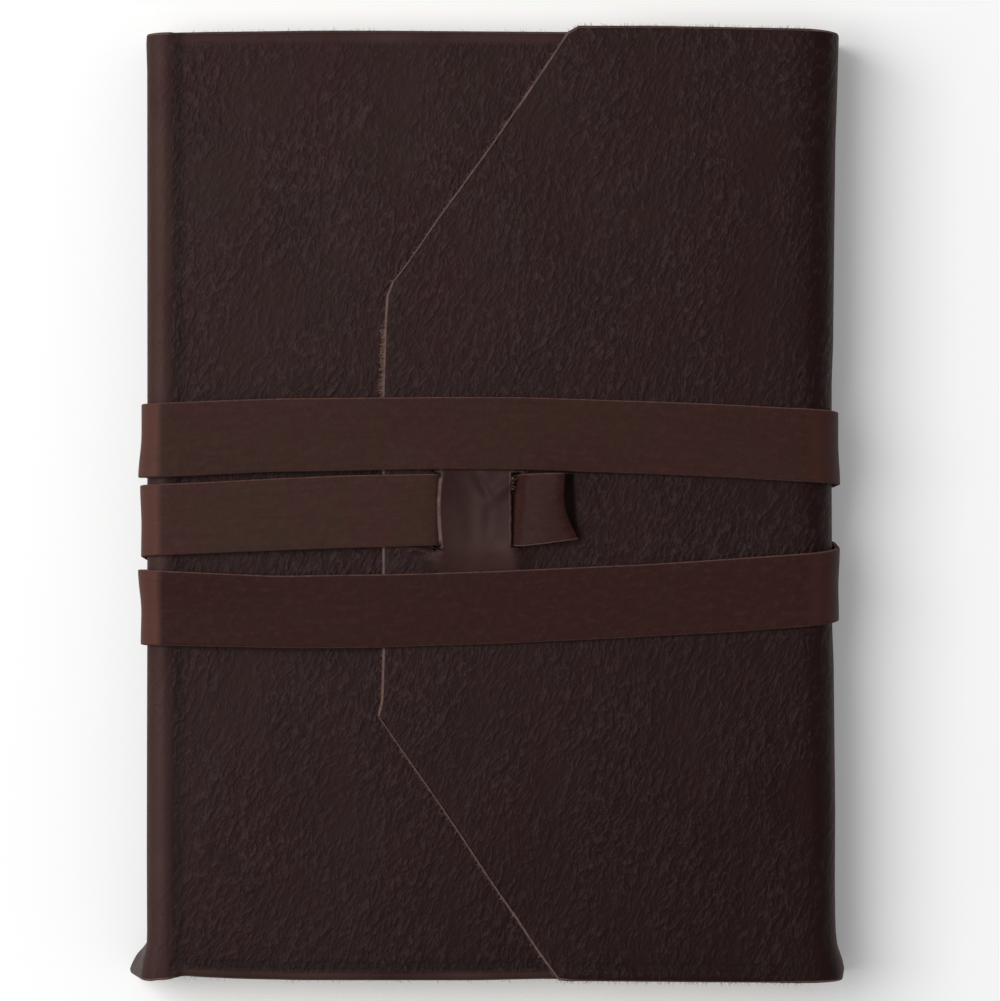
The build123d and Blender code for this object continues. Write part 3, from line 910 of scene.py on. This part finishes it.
class JOURNAL_OT_leather_cover(bpy.types.Operator):
    """Folds the cover's hide round the pages and cuts its flap and slits"""

    bl_idname = "journal.leather_cover"
    bl_label = "Leather cover"

    def execute(self, context):
        sizes = context.scene.journal_cover
        columns = spread(
            [
                (0.0, 4.0), (94.0, 2.6), (FRONT_END - 6.0, 1.2), (FRONT_END - 1.6, 0.4), (SPINE_BEND, 0.55),
                (SPINE_WALL, 3.0), (SPINE_FOOT, 0.6), (BACK_START, 5.0), (BACK_END, 0.9), (FORE_WALL, 3.0),
                (FORE_BEND, 0.95), (FLAP_START, 2.4), (flap_place(10.0), 0.8), (flap_place(-18.0), 1.6),
                (FLAP_END, 1.0),
            ]
        )
        rows = spread(
            [
                (TAIL_Y, 1.1), (TAIL_Y + 1.1, 0.6), (TAIL_Y + 6.0, 0.9), (TAIL_Y + 11.0, 2.8), (-22.0, 1.0),
                (16.0, 2.8), (HEAD_Y - 10.0, 1.2), (HEAD_Y - 4.0, 0.6), (HEAD_Y - 1.1, 1.1), (HEAD_Y, 1.1),
            ]
        )
        bm = flat_sheet(columns, rows)
        for vert in bm.verts:
            place = vert.co.x
            share = (vert.co.y - TAIL_Y) / (HEAD_Y - TAIL_Y)
            vert.co.y = lerp(look_up(HIDE_TAIL, place), look_up(HIDE_HEAD, place), share)
            near_tip = ease(flap_place(-4.0), flap_place(TIP_X), place)
            vert.co.x -= near_tip * (look_up(FLAP_TIP, vert.co.y) - TIP_X)
        low_y = BRIDGE_Y - SLIT_HALF
        high_y = BRIDGE_Y + SLIT_HALF
        left = flap_place(BRIDGE_LOW_X)
        right = flap_place(BRIDGE_HIGH_X)
        cut_slit(bm, left, left + SLIT_MOUTH, low_y, high_y)
        cut_slit(bm, right - RIGHT_MOUTH, right, low_y, high_y)
        bmesh.ops.remove_doubles(bm, verts=bm.verts, dist=0.15)
        keep_flat(bm)
        paint_hide(bm)
        for vert in bm.verts:
            vert.co = hide_point(vert.co.x, vert.co.y)[0] * MM
        bmesh.ops.reverse_faces(bm, faces=bm.faces)
        face_side = grain_leather("cover_grain", sizes, sizes.grain, 0.0, 0.09)
        raw = cut_leather("cover_raw_edge", tone(72, 54, 51), tuple(sizes.raw_edge))
        flesh = cut_leather("cover_flesh_side", tone(60, 42, 34), tuple(sizes.flesh))
        piece = new_piece("leather_hide", bm, (face_side, raw, flesh))
        thicken(piece, sizes.leather, -1.0, sizes.edge_round)
        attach(piece, "root")
        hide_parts("leather_cover")
        return {"FINISHED"}


def strap_table(runs, field):
    """One field of the strap's stops, by distance from its tail end."""
    starts = starts_of(runs)
    places = [0.0]
    for index in range(len(STRAP_STOPS) - 2):
        bend = 2 * index + 1
        places.append(starts[bend] + runs[bend].length / 2.0)
    places.append(starts[-1])
    return [(place, stop[field]) for place, stop in zip(places, STRAP_STOPS)]


def strap_end_shape(share):
    """How far the strap's tail end is cut back, from its tail edge at 0 to its head edge at 1."""
    return 2.9 * share + 1.5 * math.sin(math.pi * min(max(share, 0.0), 1.0)) ** 1.2


def rolled_width(share):
    """How much of the strap's tail end is rolled down past the line where it is bent."""
    end = 0.9 * max(share, 0.0) ** 0.7 + 0.3 * ease(0.0, 0.3, share)
    return max(0.3, strap_end_shape(share) - end)


def flat_strap(runs):
    """The strap laid out flat, at its own width and with its slanted tail end."""
    columns = [-1.0, -0.7, -0.4, -0.18, -0.06, 0.0]
    for run, start in zip(runs, starts_of(runs)):
        step = 2.4 if run.radius == 0.0 else min(2.4, max(0.45, run.radius * 0.14))
        count = max(1, round(run.length / step))
        columns += [start + run.length * (n + 1) / count for n in range(count)]
    bm = flat_sheet(columns, spread([(-1.0, 0.08), (-0.84, 0.2), (0.84, 0.08), (1.0, 0.08)]))
    widths = strap_table(runs, 4)
    for vert in bm.verts:
        share = (vert.co.y + 1.0) / 2.0
        if vert.co.x < 0.0:
            vert.co.x *= rolled_width(share)
        vert.co.x += strap_end_shape(share) * (1.0 - ease(0.0, 12.0, vert.co.x))
        vert.co.y *= look_up(widths, vert.co.x) / 2.0
    keep_flat(bm)
    return bm


def fold_strap(bm, runs):
    """Lays the flat strap along its folded line and marks its bends, with stretch lightening and painted
    highlight, how dark it is, with painted shade on its rolled end, and painted shade along its tail-side
    edge and cut end.
    """
    starts = starts_of(runs)
    widths, head_lifts, tail_lifts = (strap_table(runs, field) for field in (4, 5, 6))
    mark, darkness_and_shade, painted_edge_shade = marks(bm, "bend", "darkness_and_shade", "crease")
    for vert in bm.verts:
        place = vert.co.x
        index = stretch_at(starts, place)
        point, along = runs[index].at((place - starts[index]) / runs[index].length)
        outward = Vector((along.z, 0.0, -along.x)).normalized()
        if abs(point.z) < 3.0 and abs(along.z) < 0.05:
            outward = Vector((0.0, 0.0, -1.0))
        share = vert.co.y / (look_up(widths, place) / 2.0)
        cut = (share + 1.0) / 2.0
        lift = look_up(head_lifts, place) * ease(-0.2, 1.0, share)
        lift += look_up(tail_lifts, place) * ease(0.2, -1.0, share)
        curl = noise.noise(Vector((place * 0.05, share * 1.2, 3.3))) * 0.06
        edge = math.copysign(2.0, share)
        wander = noise.noise(Vector((place * 0.04, 7.7, edge))) * 0.16 * abs(share)
        # Stretch lightening over the strap's bends, with painted highlight: the bend on the spine side,
        # which faces the light, is marked more strongly
        side = ease(-60.0, -66.0, point.x) + 0.3 * ease(60.0, 66.0, point.x)
        bent = side * ease(0.02, 0.3, abs(along.z)) * ease(4.0, 16.0, point.z)
        # Painted highlight on the strap's rise out of the right slit
        slit_rim_highlight = ease(12.2, 13.0, place) * ease(15.0, 14.5, place)
        vert[mark] = max(bent, 0.5 * slit_rim_highlight)
        # Painted shade along the strap's tail-side edge and its cut end, which face away from the light
        vert[painted_edge_shade] = 0.85 * ease(-0.9, -0.97, share) * ease(25.0, 35.0, place)
        if place - strap_end_shape(cut) < 0.5:
            vert[painted_edge_shade] = 0.8 * ease(-0.9, -0.5, share)
        if outward.z < -0.5:
            lift = curl = 0.0
        spot = point + outward * (lift + max(0.0, curl))
        rolled = min(max((strap_end_shape(cut) - place) / rolled_width(cut), 0.0), 1.0)
        drop = min(ROLL_SLOPE * rolled_width(cut), spot.z - ROLL_FLOOR_Z)
        spot.z -= rolled**0.8 * max(0.0, drop)
        # The darkness along the strap, and above 1 on the rolled end, which the material paints as shade
        vert[darkness_and_shade] = look_up(STRAP_DARKNESS, place) + 2.0 * ease(0.0, 0.08, rolled)
        spot.x += 0.75 * share * ease(7.0, 11.5, place) * ease(18.5, 15.0, place)
        spot.y += vert.co.y + wander
        vert.co = spot * MM


class JOURNAL_OT_wrap_strap(bpy.types.Operator):
    """Winds the strap round the journal from its tail end on the flap"""

    bl_idname = "journal.wrap_strap"
    bl_label = "Wrap strap"

    def execute(self, context):
        sizes = context.scene.journal_strap
        corners = [Vector(stop[:3]) for stop in STRAP_STOPS]
        runs = fold_line(corners, [stop[3] for stop in STRAP_STOPS[1:-1]])
        bm = flat_strap(runs)
        fold_strap(bm, runs)
        bmesh.ops.reverse_faces(bm, faces=bm.faces)
        face_side = grain_leather("strap_grain", sizes, 0.09, 0.35, 0.08)
        raw = cut_leather("strap_raw_edge", tone(62, 40, 36), tone(96, 68, 60))
        flesh = cut_leather("strap_flesh_side", tone(60, 40, 33), tone(88, 62, 50))
        piece = new_piece("wound_strap", bm, (face_side, raw, flesh))
        thicken(piece, sizes.leather, 0.0, sizes.edge_round)
        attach(piece, "root")
        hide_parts("wrap_strap")
        return {"FINISHED"}


def sheet_line(fore, back_x, bottom, top, depth):
    """A folded sheet's section from its lower fore edge round the back to its upper one, as (X, Z)."""
    line = [(lerp(fore, back_x + depth, n / 6.0), bottom) for n in range(6)]
    middle = (bottom + top) / 2.0
    for n in range(9):
        turn = math.pi * (n / 8.0 - 0.5)
        across = back_x + depth * (1.0 - math.cos(turn))
        line.append((across, middle + (top - middle) * math.sin(turn)))
    line += [(lerp(back_x + depth, fore, (n + 1) / 6.0), top) for n in range(6)]
    return line


def folded_sheet(line, ends, half_height, signature, block_top):
    """One sheet of paper folded along this section, with uneven ends and a slight ripple."""
    rows = [-1.0, -0.98, -0.5, 0.0, 0.5, 0.98, 1.0]
    leaf = flat_sheet([float(n) for n in range(len(line))], rows)
    for vert in leaf.verts:
        x, z = line[round(vert.co.x)]
        stretch = half_height + (ends[0] if vert.co.y < 0.0 else ends[1])
        y = PAGE_MID_Y + vert.co.y * stretch
        ripple = noise.noise(Vector((x * 0.03, vert.co.y * 2.0, signature * 0.7)))
        inside = min(1.0, (z - BLOCK_Z) / 1.5, (block_top - z) / 1.5)
        vert.co = Vector((x, y, z + 0.05 * ripple * max(0.0, inside))) * MM
    bmesh.ops.recalc_face_normals(leaf, faces=leaf.faces)
    return leaf


class JOURNAL_OT_page_block(bpy.types.Operator):
    """Stacks the folded sheets of the sewn signatures"""

    bl_idname = "journal.page_block"
    bl_label = "Page block"

    def execute(self, context):
        sizes = context.scene.journal_paper
        chance = random.Random(11)
        thick = sizes.signature_thickness / MM
        sheet = thick / (2.0 * sizes.sheets)
        bm = bmesh.new()
        template = bpy.data.meshes.new("folded_sheet")
        half_height = sizes.height / MM / 2.0
        block_top = BLOCK_Z + sizes.signatures * thick
        for signature in range(sizes.signatures):
            low = BLOCK_Z + signature * thick
            for layer in range(sizes.sheets):
                inset = (layer + 0.5) * sheet
                bottom = low + inset
                top = low + thick - inset
                depth = max(0.15, 0.7 * (top - bottom) / thick)
                fore = PAGE_FORE_X - chance.uniform(0.0, 0.25)
                line = sheet_line(fore, BLOCK_X + inset, bottom, top, depth)
                ends = [chance.uniform(-0.22, 0.0) for n in range(2)]
                leaf = folded_sheet(line, ends, half_height, signature, block_top)
                bmesh.ops.solidify(leaf, geom=leaf.faces[:], thickness=0.9 * sheet * MM)
                leaf.to_mesh(template)
                leaf.free()
                bm.from_mesh(template)
        bpy.data.meshes.remove(template)
        paper = paper_edges("page_paper", tuple(sizes.cream), tuple(sizes.shadow))
        piece = new_piece("sewn_pages", bm, (paper,))
        piece.data.shade_flat()
        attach(piece, "root")
        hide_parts("page_block")
        return {"FINISHED"}


class JOURNAL_OT_bound_parts(bpy.types.Operator):
    """Finishes the endpapers, the spine lining and the sewing thread"""

    bl_idname = "journal.bound_parts"
    bl_label = "Endpapers, lining and thread"

    def execute(self, context):
        sizes = context.scene.journal_paper
        finishes = {
            "back_endpaper": paper_edges("endpaper", tuple(sizes.cream), tuple(sizes.shadow)),
            "spine_lining": woven_cloth("lining_weave", tone(208, 196, 168), tone(150, 136, 108), 0.6),
            "sewing_thread": waxed_thread("linen_thread", tone(222, 208, 178), tone(150, 132, 100)),
        }
        finishes["front_endpaper"] = finishes["back_endpaper"]
        for node, finish in finishes.items():
            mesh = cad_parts[node].data
            mesh.materials.clear()
            mesh.materials.append(finish)
        return {"FINISHED"}


def fibre_shapes():
    """A few bent hairs of leather fibre, one millimetre long, to be laid along the edges."""
    shapes = []
    for curl in (0.15, 0.35, -0.25, 0.6):
        bm = bmesh.new()
        bmesh.ops.create_cone(bm, segments=3, radius1=0.045, radius2=0.02, depth=1.0, cap_ends=True)
        bmesh.ops.translate(bm, verts=bm.verts, vec=(0.0, 0.0, 0.5))
        long_edges = [edge for edge in bm.edges if abs(edge.verts[0].co.z - edge.verts[1].co.z) > 0.5]
        bmesh.ops.subdivide_edges(bm, edges=long_edges, cuts=3)
        for vert in bm.verts:
            vert.co.x += curl * vert.co.z**2
            vert.co.y += 0.4 * curl * math.sin(3.0 * vert.co.z) * vert.co.z
        mesh = bpy.data.meshes.new("fibre")
        bm.to_mesh(mesh)
        bm.free()
        shapes.append(mesh)
    return shapes


def lay_fibre(bm, shape, root, aim, length, thickness, spin):
    """Adds one fibre at a root point, pointing along aim."""
    first = len(bm.verts)
    bm.from_mesh(shape)
    bm.verts.ensure_lookup_table()
    new = bm.verts[first:]
    turn = aim.to_track_quat("Z", "X").to_matrix().to_4x4() @ Matrix.Rotation(spin, 4, "Z")
    size = Matrix.Diagonal((thickness, thickness, length, 1.0)) @ Matrix.Scale(MM, 4)
    bmesh.ops.transform(bm, matrix=Matrix.Translation(root * MM) @ turn @ size, verts=new)


def root_at(place, y, out):
    """Where a fibre stands on the hide, with its way out and up."""
    spot, up = hide_point(place, y)
    return spot, Vector(out).normalized(), up


def flap_roots(chance):
    """Where fibres stand along the flap's ends and its tip."""
    roots = []
    for outline, side in ((FLAP_HEAD, 1.0), (FLAP_TAIL, -1.0)):
        for n in range(END_FIBRES):
            x = chance.uniform(-24.0, 70.0)
            y = look_up(outline, x) - side * 0.15
            shift = ease(-4.0, TIP_X, x) * (look_up(FLAP_TIP, y) - TIP_X)
            slope = (look_up(outline, x + 0.5) - look_up(outline, x - 0.5)) * side
            roots.append(root_at(flap_place(x + shift), y, (-slope, side, 0.0)))
    for n in range(TIP_FIBRES):
        y = chance.choice((chance.uniform(-47.0, -33.0), chance.uniform(25.0, 49.0)))
        roots.append(root_at(flap_place(look_up(FLAP_TIP, y) + 0.15), y, (-1.0, 0.0, 0.0)))
    return roots


def tuft_roots(chance):
    """Where tufts stand on the roughly cut stretch of the flap's tip and in the right slit."""
    roots = []
    for n in range(ROUGH_TUFTS):
        y = 24.5 + 15.5 * chance.random() ** 0.8
        y = round(y / 1.3) * 1.3 + chance.uniform(-0.45, 0.45)
        spot, out, up = root_at(flap_place(look_up(FLAP_TIP, y) + 0.3), y, (-1.0, 0.0, 0.0))
        roots.append((spot - up * chance.uniform(0.5, 1.2), out, up))
    for n in range(SLIT_TUFTS):
        y = chance.uniform(3.0, 6.6)
        spot, out, up = root_at(flap_place(BRIDGE_HIGH_X - 0.2), y, (1.0, 0.0, 0.0))
        roots.append((spot - up * chance.uniform(0.3, 1.0), out, up))
    return roots


def cover_roots(chance):
    """Where fibres stand along the front cover's head and tail ends."""
    roots = []
    for n in range(COVER_FIBRES):
        place = FREE_EDGE_X - chance.uniform(-70.0, 14.0)
        end, side = (HIDE_HEAD, 1.0) if n % 2 else (HIDE_TAIL, -1.0)
        roots.append(root_at(place, look_up(end, place) - side * 0.1, (0.0, side, 0.0)))
    return roots


class JOURNAL_OT_edge_fibres(bpy.types.Operator):
    """Raises loose fibres along the hide's cut edges"""

    bl_idname = "journal.edge_fibres"
    bl_label = "Edge fibres"

    def execute(self, context):
        chance = random.Random(5)
        shapes = fibre_shapes()
        bm = bmesh.new()
        roots = flap_roots(chance)
        tufts = tuft_roots(chance)
        roots += cover_roots(chance)
        for spot, out, up in roots:
            side = Vector((-out.y, out.x, 0.0)) * chance.uniform(-1.2, 1.2)
            aim = (out + side + up * chance.uniform(-0.5, 0.5)).normalized()
            root = spot - up * chance.uniform(0.1, 0.9)
            length = chance.uniform(0.3, 1.0)
            shape = chance.choice(shapes)
            lay_fibre(bm, shape, root, aim, length, chance.uniform(0.6, 1.2), chance.uniform(0.0, 6.0))
        for spot, out, up in tufts:
            side = Vector((0.0, chance.uniform(-0.35, 0.35), 0.0))
            aim = (out + side + up * chance.uniform(-0.15, 0.25)).normalized()
            length = chance.uniform(0.6, 1.3) if spot.x < 0.0 else chance.uniform(0.5, 0.9)
            shape = chance.choice(shapes)
            lay_fibre(bm, shape, spot, aim, length, chance.uniform(1.6, 3.2), chance.uniform(0.0, 6.0))
        for shape in shapes:
            bpy.data.meshes.remove(shape)
        finish = cut_leather("loose_fibres", tone(96, 70, 62), tone(150, 120, 106))
        piece = new_piece("edge_fibres", bm, (finish,))
        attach(piece, "root")
        return {"FINISHED"}


class JOURNAL_OT_stage(bpy.types.Operator):
    """Sets the floor, the soft light and the camera over the journal"""

    bl_idname = "journal.stage"
    bl_label = "Stage"

    def execute(self, context):
        sizes = context.scene.journal_stage
        scene = context.scene
        bm = bmesh.new()
        bmesh.ops.create_grid(bm, x_segments=4, y_segments=4, size=FLOOR_HALF)
        shade = Shade(bpy.data.materials.new("floor_white"))
        dust = shade.clouds(shade.solid(), 0.02, 2.0)
        colour = shade.blend(dust * 0.1, tuple(sizes.floor), tuple(part * 0.97 for part in sizes.floor))
        seen = shade.node("ShaderNodeLightPath", {}, {}, "Is Camera Ray")
        glow = shade.blend(seen, (0.0, 0.0, 0.0), (sizes.floor_lift,) * 3)
        glowing = {"Emission_Color": glow, "Emission_Strength": 1.0}
        finish = shade.finish(colour, 0.9, Specular_IOR_Level=0.0, **glowing)
        floor = new_piece("floor", bm, (finish,))

        key_data = bpy.data.lights.new("soft_key", "AREA")
        key_data.shape = "RECTANGLE"
        key_data.size, key_data.size_y = KEY_SIZE
        key_data.energy = sizes.key_power
        key = bpy.data.objects.new("soft_key", key_data)
        aim = Vector(KEY_AIM).normalized()
        key.location = aim * KEY_DISTANCE
        key.rotation_euler = aim.to_track_quat("Z", "Y").to_euler()
        scene.collection.objects.link(key)

        white = (1.0, 1.0, 1.0)
        air = Shade(bpy.data.worlds.new("studio_air"))
        soft = air.node("ShaderNodeBackground", {}, {"Color": white, "Strength": sizes.sky})
        plain = air.node("ShaderNodeBackground", {}, {"Color": white, "Strength": 1.0})
        to_camera = air.node("ShaderNodeLightPath", {}, {}, "Is Camera Ray")
        light = air.node("ShaderNodeMixShader", {}, {0: to_camera, 1: soft, 2: plain})
        air.node("ShaderNodeOutputWorld", {}, {"Surface": light})
        scene.world = air.owner
        scene.view_settings.view_transform = "Standard"

        lens = bpy.data.cameras.new("overhead")
        lens.sensor_fit = "HORIZONTAL"
        lens.sensor_width = SENSOR
        lens.lens = SENSOR * sizes.camera_height / sizes.view_width
        lens.clip_start = 0.01
        camera = bpy.data.objects.new("overhead", lens)
        camera.location = (*CAMERA_OVER, FRONT_TOP_Z * MM + sizes.camera_height)
        scene.collection.objects.link(camera)
        scene.camera = camera
        return {"FINISHED"}


OPERATORS = (
    JOURNAL_OT_stage,
    JOURNAL_OT_leather_cover,
    JOURNAL_OT_wrap_strap,
    JOURNAL_OT_page_block,
    JOURNAL_OT_bound_parts,
    JOURNAL_OT_edge_fibres,
)
GROUPS = {
    "journal_cover": CoverSizes,
    "journal_strap": StrapSizes,
    "journal_paper": PaperSizes,
    "journal_stage": StageSizes,
}


class JOURNAL_PT_panel(bpy.types.Panel):
    """Sizes, colours and pieces of the journal"""

    bl_idname = "JOURNAL_PT_panel"
    bl_label = "Leather wrap journal"
    bl_space_type = "VIEW_3D"
    bl_region_type = "UI"
    bl_category = "Journal"

    def draw(self, context):
        layout = self.layout
        for name, group in GROUPS.items():
            box = layout.box()
            for key in group.__annotations__:
                box.prop(getattr(context.scene, name), key)
        for operator in OPERATORS:
            layout.operator(operator.bl_idname)


CLASSES = (*GROUPS.values(), *OPERATORS, JOURNAL_PT_panel)


def register():
    for kind in CLASSES:
        bpy.utils.register_class(kind)
    for name, group in GROUPS.items():
        setattr(bpy.types.Scene, name, bpy.props.PointerProperty(type=group))


def unregister():
    for name in GROUPS:
        delattr(bpy.types.Scene, name)
    for kind in reversed(CLASSES):
        bpy.utils.unregister_class(kind)


def main():
    register()
    bpy.ops.journal.stage()
    bpy.ops.journal.leather_cover()
    bpy.ops.journal.wrap_strap()
    bpy.ops.journal.page_block()
    bpy.ops.journal.bound_parts()
    bpy.ops.journal.edge_fibres()


if __name__ == "__main__":
    main()
